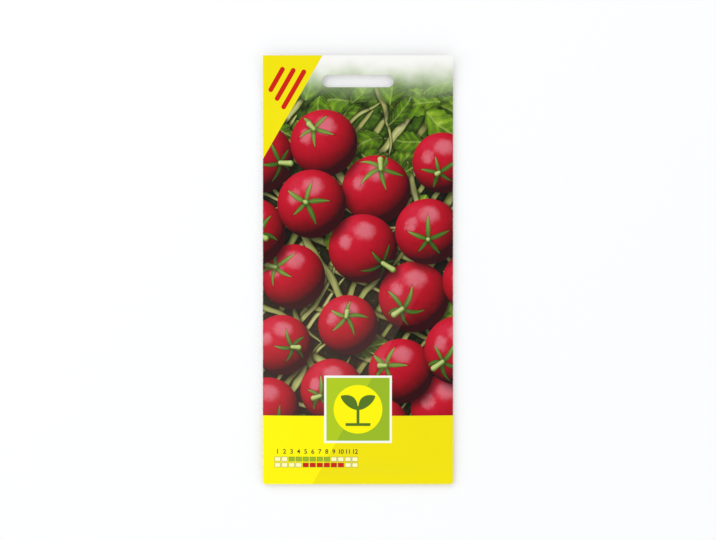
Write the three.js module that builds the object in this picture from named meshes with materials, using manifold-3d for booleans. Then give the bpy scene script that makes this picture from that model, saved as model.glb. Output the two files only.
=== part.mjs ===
// A sealed paper seed packet that lies on its back, printed face up: a folded paper envelope with a hang slot
// through its header, and inside it a small sealed sachet that holds one layer of seeds.
// Millimetres. +X runs across the packet, +Y towards its header and +Z out of its printed face.
// The origin is under the middle of the packet, on the surface that it lies on.
import * as THREE from 'three';
import { mergeVertices } from 'three/addons/utils/BufferGeometryUtils.js';
import Module from 'manifold-3d';

// Driving dimensions of the packet
const PACKET_WIDTH = 80;
const PACKET_HEIGHT = 180;
const HEADER_HEIGHT = 21;
const HEADER_CURL = 1.5;
const SLOT_LENGTH = 30;
const SLOT_WIDTH = 5.2;
const SLOT_BELOW_TOP = 10.7;
const CORNER_RADIUS = 1.4;
const ENVELOPE_LAP = 12;
const BOTTOM_FLAP_HEIGHT = 14;
const BOTTOM_FLAP_CHAMFER = 5;
const BOTTOM_BOND_HEIGHT = 4;

// How far the packet's edges stand off the surface that it lies on, and how far in from its bottom edge and
// from its header its back comes down to it
const EDGE_LIFT = 0.9;
const BACK_DOWN = { fromBottom: 30, fromHeader: 36, sidePower: 4 };

// Driving dimensions of the sachet inside it
const SACHET_WIDTH = 58;
const SACHET_HEIGHT = 96;
const SACHET_LAP = 8;
const SACHET_SEAL_HEIGHT = 6;
const SACHET_ABOVE_BOTTOM = 17;

// How far what is inside pushes up the front panel of each: highest at a share of the way up, and falling off
// more steeply near the sides and the ends where the power is larger at the sides and smaller at the ends.
const PACKET_CROWN = { height: 4.9, sidePower: 2.6, endPower: 0.8, fullAt: 0.42 };
const SACHET_CROWN = { height: 2.9, sidePower: 3.5, endPower: 0.5, fullAt: 0.45 };

// Paper, and the thin spaces between its layers. A seam steps down a number of papers' thickness past its lap,
// over a further number of them. A glued joint reaches a share of a paper's thickness into both of its sides.
const ENVELOPE_PAPER = 0.25;
const SACHET_PAPER = 0.2;
const GLUE_LINE = 0.1;
const FLAT_CAVITY = 0.3;
const CLEARANCE = 0.3;
const LEAST_GAP = 0.12;
const SEAM_STEP = { past: 3, over: 4 };
const BOND_REACH = 1 / 3;

// One seed, and the oval patch that the seeds cover in rows
const SEED_LENGTH = 3.1;
const SEED_HEIGHT = 2.2;
const SEED_PITCH = 2.35;
const SEED_ROW_PITCH = 2.9;
const SEED_NUDGE = 0.24;
const SEED_PATCH = { halfWidth: 12, halfHeight: 16 };
const SEEDS_UP_SACHET = 0.44;
const SEED_DRAW = 7;
const DRAW_STEP = { factor: 1664525, offset: 1013904223, range: 4294967296 };

const BOTTOM = -PACKET_HEIGHT / 2;
const TOP = PACKET_HEIGHT / 2;

// Overlap of joined solids, heights that a cut from above runs between, how close points are one point, and the
// longest edge of a face that is bent
const OVERLAP = 0.5;
const CUT_LOW = -1;
const CUT_HIGH = 10;
const WELD_DISTANCE = 1e-4;
const LONGEST_EDGE = 12;

const wasm = await Module();
wasm.setup();

// A closed geometry as a solid that can be joined and cut.
function solidFrom(geometry) {
  const bare = geometry.clone();
  bare.deleteAttribute('normal');
  bare.deleteAttribute('uv');
  const merged = mergeVertices(bare, WELD_DISTANCE);
  return new wasm.Manifold(new wasm.Mesh({
    numProp: 3,
    vertProperties: merged.attributes.position.array,
    triVerts: new Uint32Array(merged.index.array),
  }));
}

// A solid back as a named mesh of the scene.
function meshFrom(solid, name, material) {
  const data = solid.getMesh();
  const geometry = new THREE.BufferGeometry();
  geometry.setAttribute('position', new THREE.BufferAttribute(data.vertProperties, 3));
  geometry.setIndex(new THREE.BufferAttribute(data.triVerts, 1));
  geometry.computeVertexNormals();
  const mesh = new THREE.Mesh(geometry, material);
  mesh.name = name;
  return mesh;
}

// A profile, drawn in Y and Z, as a solid that runs the same way to both sides of the middle.
function profileSolid(shape, halfWidth) {
  const geometry = new THREE.ExtrudeGeometry(shape, {
    depth: 2 * halfWidth, bevelEnabled: false, curveSegments: 6,
  });
  geometry.applyMatrix4(new THREE.Matrix4().makeBasis(
    new THREE.Vector3(0, 1, 0), new THREE.Vector3(0, 0, 1), new THREE.Vector3(1, 0, 0),
  ));
  geometry.translate(-halfWidth, 0, 0);
  return solidFrom(geometry);
}

// A plan outline, drawn in X and Y, as a solid to cut with that is taller than the packet.
function planSolid(shape) {
  const geometry = new THREE.ExtrudeGeometry(shape, {
    depth: CUT_HIGH - CUT_LOW, bevelEnabled: false, curveSegments: 6,
  });
  geometry.translate(0, 0, CUT_LOW);
  return solidFrom(geometry);
}

// The heights of a folded pouch's layers above its underside, lying flat and empty:
// the outer lap of the back seam, the back panel over it, the cavity and the front panel.
function layersOf(paper) {
  const backLow = paper + GLUE_LINE;
  const backHigh = backLow + paper;
  const frontLow = backHigh + FLAT_CAVITY;
  return { paper, backLow, backHigh, frontLow, frontHigh: frontLow + paper };
}

// One sheet folded into a flat tube, seen from its end: it starts as the outer lap under the seam, runs out to
// the right edge, back over the front, round the left edge, and ends as the inner lap above the first one.
function foldedSection({ width, lap, layers, frontSegments }) {
  const { paper, backLow, backHigh, frontLow, frontHigh } = layers;
  const foldRadius = (frontHigh - backLow) / 2;
  const foldHeight = backLow + foldRadius;
  const foldX = width / 2 - foldRadius;
  const jogStart = lap / 2 + SEAM_STEP.past * paper;
  const jogEnd = jogStart + SEAM_STEP.over * paper;
  const section = new THREE.Shape();
  section.moveTo(-lap / 2, 0);
  section.lineTo(jogStart, 0);
  section.lineTo(jogEnd, backLow);
  section.lineTo(foldX, backLow);
  section.absarc(foldX, foldHeight, foldRadius, -Math.PI / 2, Math.PI / 2, false);
  for (let i = 1; i <= frontSegments; i++) {
    section.lineTo(foldX - (2 * foldX * i) / frontSegments, frontHigh);
  }
  section.absarc(-foldX, foldHeight, foldRadius, Math.PI / 2, (3 * Math.PI) / 2, false);
  section.lineTo(lap / 2, backLow);
  section.lineTo(lap / 2, backHigh);
  section.lineTo(-foldX, backHigh);
  section.absarc(-foldX, foldHeight, foldRadius - paper, (3 * Math.PI) / 2, Math.PI / 2, true);
  for (let i = 1; i <= frontSegments; i++) {
    section.lineTo(-foldX + (2 * foldX * i) / frontSegments, frontLow);
  }
  section.absarc(foldX, foldHeight, foldRadius - paper, Math.PI / 2, -Math.PI / 2, true);
  section.lineTo(jogEnd, backHigh);
  section.lineTo(jogStart, paper);
  section.lineTo(-lap / 2, paper);
  section.closePath();
  return section;
}

// The section drawn out along Y from one end to the other, with its rings closer together at the ends.
// crown(x, y) lifts the front panel.
function foldedTube({ width, lap, layers, frontSegments, steps, low, high, crown }) {
  const section = foldedSection({ width, lap, layers, frontSegments });
  const geometry = new THREE.ExtrudeGeometry(section, {
    depth: 1, steps, bevelEnabled: false, curveSegments: 4,
  });
  geometry.rotateX(Math.PI / 2);
  geometry.translate(0, 1, 0);
  const { backHigh, frontLow } = layers;
  const points = geometry.attributes.position;
  for (let i = 0; i < points.count; i++) {
    const x = points.getX(i);
    const y = low + ((high - low) * (1 - Math.cos(Math.PI * points.getY(i)))) / 2;
    const z = points.getZ(i);
    const share = THREE.MathUtils.clamp((z - backHigh) / (frontLow - backHigh), 0, 1);
    points.setXYZ(i, x, y, z + share * crown(x, y));
  }
  return solidFrom(geometry);
}

// A glued joint between two layers of a pouch.
function bond({ halfWidth, low, high, bottom, top }) {
  const block = wasm.Manifold.cube([2 * halfWidth, high - low, top - bottom]);
  return block.translate([-halfWidth, low, bottom]);
}

// A crown that is full in the middle and falls to nothing at the sides and at both ends.
function pillowCrown({ height, halfWidth, low, high, sidePower, endPower, fullAt }) {
  return (x, y) => {
    const along = THREE.MathUtils.clamp((y - low) / (high - low), 0, 1);
    const side = Math.max(0, 1 - Math.abs(x / halfWidth) ** sidePower);
    const skew = Math.log(0.5) / Math.log(fullAt);
    return height * side * Math.sin(Math.PI * along ** skew) ** endPower;
  };
}

// The paper envelope
const envelopeLayers = layersOf(ENVELOPE_PAPER);
const FLAP_DROP = ENVELOPE_PAPER + GLUE_LINE;
const FLAP_FOLD_RADIUS = (envelopeLayers.frontHigh + FLAP_DROP) / 2;
const TUBE_BOTTOM = BOTTOM + FLAP_FOLD_RADIUS;
const HEADER_BOTTOM = TOP - HEADER_HEIGHT;

// How far the filled packet stands off the surface there: its edges do, its back comes down to the surface in
// the middle, and its header curls up.
function envelopeLift(x, y) {
  const { fromBottom, fromHeader, sidePower } = BACK_DOWN;
  const side = Math.max(0, 1 - Math.abs((2 * x) / PACKET_WIDTH) ** sidePower);
  const pastBottom = THREE.MathUtils.smoothstep(y, TUBE_BOTTOM, TUBE_BOTTOM + fromBottom);
  const beforeHeader = THREE.MathUtils.smoothstep(HEADER_BOTTOM - y, 0, fromHeader);
  const intoHeader = Math.max(0, y - HEADER_BOTTOM) / HEADER_HEIGHT;
  return EDGE_LIFT * (1 - side * pastBottom * beforeHeader) + HEADER_CURL * intoHeader ** 2;
}

function envelopeTube() {
  return foldedTube({
    width: PACKET_WIDTH,
    lap: ENVELOPE_LAP,
    layers: envelopeLayers,
    frontSegments: 12,
    steps: 32,
    low: TUBE_BOTTOM,
    high: TOP,
    crown: pillowCrown({
      ...PACKET_CROWN,
      halfWidth: PACKET_WIDTH / 2 - ENVELOPE_PAPER,
      low: TUBE_BOTTOM + BOTTOM_BOND_HEIGHT,
      high: HEADER_BOTTOM,
    }),
  });
}

// The glued faces of the header and of the bottom edge, where the two panels are one.
function envelopeBonds() {
  const { paper, backLow, backHigh, frontLow } = envelopeLayers;
  const halfWidth = PACKET_WIDTH / 2 - paper / 2;
  const inPaper = paper * BOND_REACH;
  const panels = { halfWidth, bottom: backHigh - inPaper, top: frontLow + inPaper };
  const inHeader = { low: HEADER_BOTTOM, high: TOP };
  const header = bond({ ...panels, ...inHeader });
  const seam = bond({
    ...inHeader, halfWidth: ENVELOPE_LAP / 2, bottom: paper - inPaper, top: backLow + inPaper,
  });
  const bottom = bond({ ...panels, low: TUBE_BOTTOM, high: TUBE_BOTTOM + BOTTOM_BOND_HEIGHT });
  return header.add(seam).add(bottom);
}

// The front panel's end, folded round the bottom edge and up under the back.
function bottomFlap() {
  const { paper } = envelopeLayers;
  const top = envelopeLayers.frontHigh;
  const radius = FLAP_FOLD_RADIUS;
  const foldHeight = top - radius;
  const half = PACKET_WIDTH / 2;
  const end = TUBE_BOTTOM + BOTTOM_FLAP_HEIGHT;
  const profile = new THREE.Shape();
  profile.moveTo(end, -FLAP_DROP);
  profile.lineTo(end, paper - FLAP_DROP);
  profile.lineTo(TUBE_BOTTOM, paper - FLAP_DROP);
  profile.absarc(TUBE_BOTTOM, foldHeight, radius - paper, (3 * Math.PI) / 2, Math.PI / 2, true);
  profile.lineTo(TUBE_BOTTOM + OVERLAP, top - paper);
  profile.lineTo(TUBE_BOTTOM + OVERLAP, top);
  profile.lineTo(TUBE_BOTTOM, top);
  profile.absarc(TUBE_BOTTOM, foldHeight, radius, Math.PI / 2, (3 * Math.PI) / 2, false);
  profile.closePath();
  const cut = new THREE.Shape();
  cut.moveTo(-half, BOTTOM - OVERLAP);
  cut.lineTo(half, BOTTOM - OVERLAP);
  cut.lineTo(half, end - BOTTOM_FLAP_CHAMFER);
  cut.lineTo(half - BOTTOM_FLAP_CHAMFER, end);
  cut.lineTo(-half + BOTTOM_FLAP_CHAMFER, end);
  cut.lineTo(-half, end - BOTTOM_FLAP_CHAMFER);
  cut.closePath();
  return profileSolid(profile, half).intersect(planSolid(cut));
}

// The packet's outline from above, with its two bottom corners rounded.
function packetOutline() {
  const half = PACKET_WIDTH / 2;
  const r = CORNER_RADIUS;
  const outline = new THREE.Shape();
  outline.moveTo(half, TOP);
  outline.lineTo(-half, TOP);
  outline.lineTo(-half, BOTTOM + r);
  outline.absarc(-half + r, BOTTOM + r, r, Math.PI, (3 * Math.PI) / 2, false);
  outline.lineTo(half - r, BOTTOM);
  outline.absarc(half - r, BOTTOM + r, r, (3 * Math.PI) / 2, 2 * Math.PI, false);
  outline.closePath();
  return outline;
}

// The round-ended slot that the packet hangs by.
function slotOutline() {
  const r = SLOT_WIDTH / 2;
  const y = TOP - SLOT_BELOW_TOP;
  const x = SLOT_LENGTH / 2 - r;
  const outline = new THREE.Shape();
  outline.absarc(x, y, r, -Math.PI / 2, Math.PI / 2, false);
  outline.absarc(-x, y, r, Math.PI / 2, (3 * Math.PI) / 2, false);
  outline.closePath();
  return outline;
}

// Folded and glued flat, cut to its outline, punched, and then bent to the way that it lies.
function envelope() {
  const folded = envelopeTube().add(envelopeBonds()).add(bottomFlap());
  return folded
    .intersect(planSolid(packetOutline()))
    .subtract(planSolid(slotOutline()))
    .refineToLength(LONGEST_EDGE)
    .warp((point) => {
      point[2] += envelopeLift(point[0], point[1]);
    });
}

// The inner sachet
const sachetLayers = layersOf(SACHET_PAPER);
const SACHET_BOTTOM = BOTTOM + SACHET_ABOVE_BOTTOM;
const SACHET_TOP = SACHET_BOTTOM + SACHET_HEIGHT;
const SACHET_HEIGHT_ABOVE_SURFACE =
  envelopeLayers.backHigh + envelopeLift(SACHET_WIDTH / 2, SACHET_BOTTOM) + LEAST_GAP;

function sachet() {
  const { paper, backLow, backHigh, frontLow } = sachetLayers;
  const crown = pillowCrown({
    ...SACHET_CROWN,
    halfWidth: SACHET_WIDTH / 2 - paper,
    low: SACHET_BOTTOM + SACHET_SEAL_HEIGHT,
    high: SACHET_TOP - SACHET_SEAL_HEIGHT,
  });
  const tube = foldedTube({
    width: SACHET_WIDTH,
    lap: SACHET_LAP,
    layers: sachetLayers,
    frontSegments: 8,
    steps: 18,
    low: SACHET_BOTTOM,
    high: SACHET_TOP,
    crown,
  });
  const halfWidth = SACHET_WIDTH / 2 - paper / 2;
  const inPaper = paper * BOND_REACH;
  const seal = (low) => {
    const across = { low, high: low + SACHET_SEAL_HEIGHT };
    const panels = bond({
      ...across, halfWidth, bottom: backHigh - inPaper, top: frontLow + inPaper,
    });
    const seam = bond({
      ...across, halfWidth: SACHET_LAP / 2, bottom: paper - inPaper, top: backLow + inPaper,
    });
    return panels.add(seam);
  };
  return tube.add(seal(SACHET_BOTTOM)).add(seal(SACHET_TOP - SACHET_SEAL_HEIGHT));
}

// The seeds
function seededDraw(seed) {
  let state = seed;
  return () => {
    state = (state * DRAW_STEP.factor + DRAW_STEP.offset) % DRAW_STEP.range;
    return state / DRAW_STEP.range;
  };
}

// The path that the seeds lie along: row after row across the oval, there and back.
function seedPath() {
  const { halfWidth, halfHeight } = SEED_PATCH;
  const rows = Math.floor(halfHeight / SEED_ROW_PITCH);
  const turns = [];
  for (let row = -rows; row <= rows; row++) {
    const y = row * SEED_ROW_PITCH;
    const reach = halfWidth * Math.sqrt(1 - (y / halfHeight) ** 2);
    const side = row % 2 === 0 ? 1 : -1;
    turns.push(new THREE.Vector3(-side * reach, y, 0), new THREE.Vector3(side * reach, y, 0));
  }
  const path = new THREE.CurvePath();
  for (let i = 1; i < turns.length; i++) {
    path.add(new THREE.LineCurve3(turns[i - 1], turns[i]));
  }
  return path;
}

// One layer of seeds, each turned and nudged a little, and each grown into the next along the path.
function seeds() {
  const draw = seededDraw(SEED_DRAW);
  const path = seedPath();
  const places = path.getSpacedPoints(Math.round(path.getLength() / SEED_PITCH));
  return wasm.Manifold.union(places.map((place) => {
    const seed = new THREE.IcosahedronGeometry(SEED_LENGTH / 2, 0);
    seed.rotateZ(draw() * Math.PI);
    seed.scale(1, 1, SEED_HEIGHT / SEED_LENGTH);
    seed.translate(place.x, place.y + (2 * draw() - 1) * SEED_NUDGE, 0);
    return solidFrom(seed);
  }));
}

const SEEDS_Y = SACHET_BOTTOM + SACHET_HEIGHT * SEEDS_UP_SACHET;
const SEEDS_Z = sachetLayers.backHigh + CLEARANCE + SEED_HEIGHT / 2;

// Materials
const printedPaper = new THREE.MeshStandardMaterial({ color: 0xb3192f, roughness: 0.38, metalness: 0 });
const sachetPaper = new THREE.MeshStandardMaterial({ color: 0xd9d4c7, roughness: 0.45, metalness: 0 });
const seedCoat = new THREE.MeshStandardMaterial({ color: 0x8a5a3a, roughness: 0.7, metalness: 0 });

// The packet, with the sachet and its seeds lying inside the envelope
const packet = new THREE.Group();
packet.add(meshFrom(envelope(), 'envelope', printedPaper));

const contents = new THREE.Group();
contents.position.z = SACHET_HEIGHT_ABOVE_SURFACE;
contents.add(meshFrom(sachet(), 'inner_sachet', sachetPaper));

const seedLayer = meshFrom(seeds(), 'seeds', seedCoat);
seedLayer.position.set(0, SEEDS_Y, SEEDS_Z);
contents.add(seedLayer);
packet.add(contents);

export default packet;
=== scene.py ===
"""A printed paper seed packet, lying on its back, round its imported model: a folded envelope with a hang slot,
the small sachet inside it, and the seeds in the sachet. Metres, in the model's own frame."""
from functools import partial
from math import atan2, copysign, cos, exp, hypot, log, pi, radians, sin, sqrt

import bmesh
import bpy
from bpy.props import FloatProperty, FloatVectorProperty, IntProperty, PointerProperty
from mathutils import Matrix, Vector, noise


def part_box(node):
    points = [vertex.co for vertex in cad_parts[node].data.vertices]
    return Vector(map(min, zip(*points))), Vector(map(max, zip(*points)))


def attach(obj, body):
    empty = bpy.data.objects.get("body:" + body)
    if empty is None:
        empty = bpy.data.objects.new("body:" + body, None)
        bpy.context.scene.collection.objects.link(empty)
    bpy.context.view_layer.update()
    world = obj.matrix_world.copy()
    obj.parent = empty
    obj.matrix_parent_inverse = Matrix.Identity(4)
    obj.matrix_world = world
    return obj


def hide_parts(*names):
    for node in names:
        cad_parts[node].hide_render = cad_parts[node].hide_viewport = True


bl_info = {
    "name": "Seed Packet",
    "version": (1, 0, 0),
    "blender": (4, 5, 0),
    "location": "3D View > Sidebar > Seed Packet",
    "description": "Makes a printed paper seed packet with its sachet and seeds",
    "category": "Add Mesh",
}

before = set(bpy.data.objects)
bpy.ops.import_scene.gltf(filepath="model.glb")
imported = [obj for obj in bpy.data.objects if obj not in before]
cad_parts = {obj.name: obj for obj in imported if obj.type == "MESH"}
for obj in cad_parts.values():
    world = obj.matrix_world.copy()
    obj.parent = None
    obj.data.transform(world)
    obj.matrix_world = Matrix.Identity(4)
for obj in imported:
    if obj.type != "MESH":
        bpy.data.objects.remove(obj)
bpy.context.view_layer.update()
ENVELOPE_LOW, ENVELOPE_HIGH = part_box("envelope")
SACHET_LOW, SACHET_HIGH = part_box("inner_sachet")
SEEDS_LOW, SEEDS_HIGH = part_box("seeds")

MM = 0.001
HALF_WIDTH = (ENVELOPE_HIGH.x - ENVELOPE_LOW.x) / 2
BOTTOM = ENVELOPE_LOW.y
TOP = ENVELOPE_HIGH.y

# The photograph's width, how large a pixel of it is on the packet, and the height at which that holds
PHOTO_WIDTH_PX = 716
PIXEL = 0.42 * MM
PIXEL_PLANE = 1 * MM


def linear(red, green, blue):
    """A screen colour, 0 to 255, as the linear colour that a shader takes."""
    def channel(value):
        share = value / 255
        return share / 12.92 if share <= 0.04045 else ((share + 0.055) / 1.055) ** 2.4
    return (channel(red), channel(green), channel(blue))


def smoothstep(value, low, high):
    """0 below low, 1 above high and a soft ramp between them."""
    share = min(max((value - low) / (high - low), 0.0), 1.0)
    return share * share * (3 - 2 * share)


def length_prop(name, description, millimetres):
    default = millimetres * MM
    return FloatProperty(name=name, description=description, default=default, unit="LENGTH", precision=5)


def color_prop(name, description, default):
    return FloatVectorProperty(
        name=name, description=description, default=default, size=3, subtype="COLOR", min=0, max=1,
    )


class PacketForm(bpy.types.PropertyGroup):
    """How the envelope is cut, folded and filled."""
    paper: length_prop("Paper", "Thickness of the envelope's paper", 0.18)
    glue: length_prop("Glue Line", "Space between two glued layers", 0.04)
    cavity: length_prop("Empty Cavity", "Space between the panels at the side folds", 0.45)
    lap: length_prop("Seam Lap", "Width of the lap of the back seam", 12)
    flap: length_prop("Bottom Flap", "Height of the flap that closes the bottom", 14)
    flap_chamfer: length_prop("Flap Chamfer", "Size of the flap's cut corners", 5)
    header: length_prop("Header", "Height of the glued header", 21)
    header_curl: length_prop("Header Curl", "How far the header's top edge curls up", 1.5)
    edge_lift: length_prop("Edge Lift", "How far the edges stand off the floor", 0.9)
    bottom_bond: length_prop("Bottom Bond", "Height of the glued strip at the bottom", 4)
    corner: length_prop("Corner Radius", "Radius of the two bottom corners", 1.4)
    crown: length_prop("Crown", "How far the contents push the front panel up", 4.85)
    slot_length: length_prop("Slot Length", "Length of the hang slot", 30)
    slot_width: length_prop("Slot Width", "Width of the hang slot", 5.2)
    slot_drop: length_prop("Slot Drop", "From the top edge to the slot's middle", 10.7)
    step: length_prop("Mesh Step", "Spacing of the front panel's mesh", 1.1)


class PrintColors(bpy.types.PropertyGroup):
    """The printed colours of the envelope, with the lighter yellow and green that paint a sheen left of the
    diagonal.
    """
    yellow: color_prop("Yellow", "The band and the corner", linear(240, 225, 0))
    # Bright yellow: the sun disc's ink, and a painted sheen on the band left of the diagonal
    bright_yellow_and_sheen: color_prop("Bright Yellow", "The band left of its diagonal", linear(252, 243, 0))
    green: color_prop("Green", "The panel right of the diagonal", linear(152, 184, 36))
    # Bright green: a painted sheen on the panel left of the diagonal
    painted_sheen_green: color_prop("Bright Green", "The panel left of the diagonal", linear(174, 201, 30))
    dark_green: color_prop("Dark Green", "The panel's sign", linear(84, 116, 34))
    haze: color_prop("Haze", "What the picture pales to on its way up", linear(178, 200, 148))
    red: color_prop("Red", "The corner's stripes", linear(204, 30, 12))
    ink: color_prop("Ink", "The calendar's numbers and lines", linear(18, 17, 10))
    paper: color_prop("Paper", "Bare paper", linear(246, 245, 241))


class ContentsForm(bpy.types.PropertyGroup):
    """The sachet and its seeds."""
    paper: length_prop("Sachet Paper", "Thickness of the sachet's laminate", 0.14)
    seal: length_prop("Seal", "Height of the crimped seal at each end", 6)
    glue: length_prop("Sachet Glue Line", "Space between two sealed layers", 0.02)
    cavity: length_prop("Sachet Cavity", "Space between the panels at the side folds", 0.4)
    lap: length_prop("Sachet Lap", "Width of the lap of the back seam", 8)
    crown: length_prop("Sachet Crown", "How far the seeds push the sachet up", 2.6)
    seed_length: length_prop("Seed Length", "Length of one seed", 2.5)
    seed_pitch: length_prop("Seed Pitch", "Spacing of the seeds", 2.75)
    seed_draw: IntProperty(name="Seed Draw", description="Number that starts the random draws", default=11)
    foil: color_prop("Laminate", "The sachet's colour", linear(222, 220, 214))
    seed_color: color_prop("Seed", "The seed coats' colour", linear(142, 92, 58))


class StageForm(bpy.types.PropertyGroup):
    """The floor, the lights and the camera."""
    floor: color_prop("Floor", "The floor's colour", (0.95, 0.95, 0.952))
    lens: FloatProperty(name="Lens", description="Focal length", default=100, unit="CAMERA")
    sensor: FloatProperty(name="Sensor", description="Sensor width", default=36, unit="CAMERA")
    light_distance: length_prop("Light Distance", "From the packet to each light", 1600)


# Shader writing

class Wire:
    """An output socket of a node tree that plain arithmetic can be done with."""

    def __init__(self, tree, socket):
        self.tree = tree
        self.socket = socket


def wire_operator(operation, swapped):
    """Arithmetic on a wire as a Math node, with the wire on the left or, swapped, on the right."""
    def operator(wire, other):
        return calc(operation, other, wire) if swapped else calc(operation, wire, other)
    return operator


OPERATIONS = {"add": "ADD", "sub": "SUBTRACT", "mul": "MULTIPLY", "truediv": "DIVIDE", "pow": "POWER"}
for word, operation in OPERATIONS.items():
    setattr(Wire, f"__{word}__", wire_operator(operation, False))
    setattr(Wire, f"__r{word}__", wire_operator(operation, True))


def plug(tree, socket, value):
    """Sets an input socket to a number or colour, or links a wire to it."""
    if isinstance(value, Wire):
        tree.links.new(value.socket, socket)
    elif socket.type == "RGBA" and len(value) == 3:
        socket.default_value = (*value, 1)
    else:
        socket.default_value = value


def configure(thing, **settings):
    """Sets some attributes of a thing; returns it."""
    for name, value in settings.items():
        setattr(thing, name, value)
    return thing


def add_node(kind, inputs, output=0, tree=None, **settings):
    """A new node with its settings and inputs, in its wires' tree; returns one of its outputs as a wire."""
    tree = tree or next(value.tree for value in inputs.values() if isinstance(value, Wire))
    node = configure(tree.nodes.new(kind), **settings)
    for key, value in inputs.items():
        plug(tree, node.inputs[key], value)
    return Wire(tree, node.outputs[output])


def calc(operation, *values):
    """A Math node on wires and numbers."""
    return add_node("ShaderNodeMath", dict(enumerate(values)), operation=operation)


absolute, root, round_down, fraction, sine_of, cosine_of = (
    partial(calc, operation) for operation in ("ABSOLUTE", "SQRT", "FLOOR", "FRACT", "SINE", "COSINE")
)
larger, smaller, is_less, is_more = (
    partial(calc, operation) for operation in ("MAXIMUM", "MINIMUM", "LESS_THAN", "GREATER_THAN")
)


def vector_math(operation, *values, **named):
    """A Vector Math node on wires and numbers."""
    return add_node("ShaderNodeVectorMath", {**dict(enumerate(values)), **named}, operation=operation)


def ramp(value, low, high):
    """0 at low and past it, 1 at high and past it, and soft between; low may be the larger."""
    inputs = {"Value": value, "From Min": low, "From Max": high}
    return add_node("ShaderNodeMapRange", inputs, interpolation_type="SMOOTHSTEP")


def above(value, limit=0.0, soft=0.1):
    """1 where value is over limit, with an edge as soft as ink's."""
    return ramp(value, limit - soft / 2, limit + soft / 2)


def blend(factor, under, over, **settings):
    """Two colours, mixed."""
    return add_node("ShaderNodeMix", {0: factor, 6: under, 7: over}, 2, data_type="RGBA", **settings)


def shade(color, factor):
    """A colour, made darker or lighter."""
    grey = add_node("ShaderNodeCombineColor", {0: factor, 1: factor, 2: factor})
    return blend(1.0, color, grey, blend_type="MULTIPLY")


def split(vector):
    """The x, y and z of a vector, or the three channels of a colour."""
    first = add_node("ShaderNodeSeparateXYZ", {0: vector})
    return [Wire(vector.tree, socket) for socket in first.socket.node.outputs]


def join(x, y, z=0.0):
    return add_node("ShaderNodeCombineXYZ", {0: x, 1: y, 2: z})


def grain(position, scale, detail=2.0, rough=0.5, output="Fac"):
    """Noise from 0 to 1, as a number or as a colour."""
    inputs = {"Vector": position, "Scale": scale, "Detail": detail, "Roughness": rough}
    return add_node("ShaderNodeTexNoise", inputs, output)


def white_noise(position, output):
    """A random number or colour for each position."""
    return add_node("ShaderNodeTexWhiteNoise", {"Vector": position}, output, noise_dimensions="3D")


def rotate(position, angle):
    """A position, turned about z."""
    return add_node("ShaderNodeVectorRotate", {"Vector": position, "Angle": angle}, rotation_type="Z_AXIS")


def mottle(position, scale, detail, depth):
    """Noise to both sides of 0."""
    return (grain(position, scale, detail) - 0.5) * depth


def darken(color, mask, depth):
    """A colour, made darker where the mask is."""
    return shade(color, 1.0 - mask * depth)


def color_ramp(factor, stops):
    """A run of colours along a factor; stops are (place, colour)."""
    wire = add_node("ShaderNodeValToRGB", {0: factor})
    elements = wire.socket.node.color_ramp.elements
    while len(elements) < len(stops):
        elements.new(0.5)
    for element, (place, color) in zip(elements, stops):
        element.position = place
        element.color = (*color, 1)
    return wire


def shades(*stops):
    """Screen colours at places along a ramp, as linear ones."""
    return [(place, linear(*color)) for place, *color in stops]


def new_group(name, inputs, tree_kind="ShaderNodeTree", result="Color"):
    """A node group; returns it, its inputs as wires, and a function that sets its one output."""
    group = bpy.data.node_groups.new(name, tree_kind)
    for label, kind in inputs.items():
        group.interface.new_socket(label, in_out="INPUT", socket_type=f"NodeSocket{kind}")
    group.interface.new_socket(result, in_out="OUTPUT", socket_type=f"NodeSocket{result}")
    entry = group.nodes.new("NodeGroupInput")
    leave = group.nodes.new("NodeGroupOutput")
    given = [Wire(group, entry.outputs[label]) for label in inputs]
    return group, given, lambda wire: group.links.new(wire.socket, leave.inputs[result])


def new_material(name):
    """A material; returns it, its shader node and the position on the piece in millimetres."""
    material = configure(bpy.data.materials.new(name), use_nodes=True)
    tree = material.node_tree
    shader = tree.nodes["Principled BSDF"]
    place = add_node("ShaderNodeTexCoord", {}, "Object", tree)
    position = vector_math("SCALE", place, Scale=1 / MM)
    return material, shader, position


def set_look(shader, color, roughness, specular=None, relief=None):
    """Sets a material's colour, roughness, specular level and relief: height, strength and distance."""
    tree = color.tree
    plug(tree, shader.inputs["Base Color"], color)
    plug(tree, shader.inputs["Roughness"], roughness)
    if specular is not None:
        shader.inputs["Specular IOR Level"].default_value = specular
    if relief:
        inputs = dict(zip(("Height", "Strength", "Distance"), relief))
        plug(tree, shader.inputs["Normal"], add_node("ShaderNodeBump", inputs, "Normal"))


# The printed picture: motifs scattered over a turned, staggered grid, one to a cell

# What is added to a layer's draw for each further three random numbers of a cell
DRAW_STEPS = (0.0, 31.0, 57.0)


class Cell:
    """Where a point lies in its cell of the grid, and that cell's own random numbers."""

    def __init__(self, position, turn, shift, pitch_x, pitch_y, draw):
        self.turn = turn
        x, y, _ = split(vector_math("ADD", rotate(position, turn), shift))
        row = round_down(y / pitch_y)
        stagger = calc("FLOORED_MODULO", row, 2.0) * 0.5
        across = x / pitch_x + stagger
        column = round_down(across)
        self.x = (across - column - 0.5) * pitch_x
        self.y = (y / pitch_y - row - 0.5) * pitch_y
        here = split(position)[1]
        self.height = here - self.upright()[1]
        self.random = []
        for extra in DRAW_STEPS:
            self.random += split(white_noise(join(column, row, draw + extra), "Color"))

    def upright(self):
        """The point's place from the cell's middle, along the picture's own x and y."""
        return split(rotate(join(self.x, self.y), self.turn * -1.0))[:2]


def warp(position, reach, scale):
    """A position pushed about by slow noise, so that straight outlines drawn on it bend."""
    centred = vector_math("SUBTRACT", grain(position, scale, 1.5, output="Color"), (0.5, 0.5, 0.5))
    return vector_math("MULTIPLY_ADD", centred, (reach, reach, 0.0), position)


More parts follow.
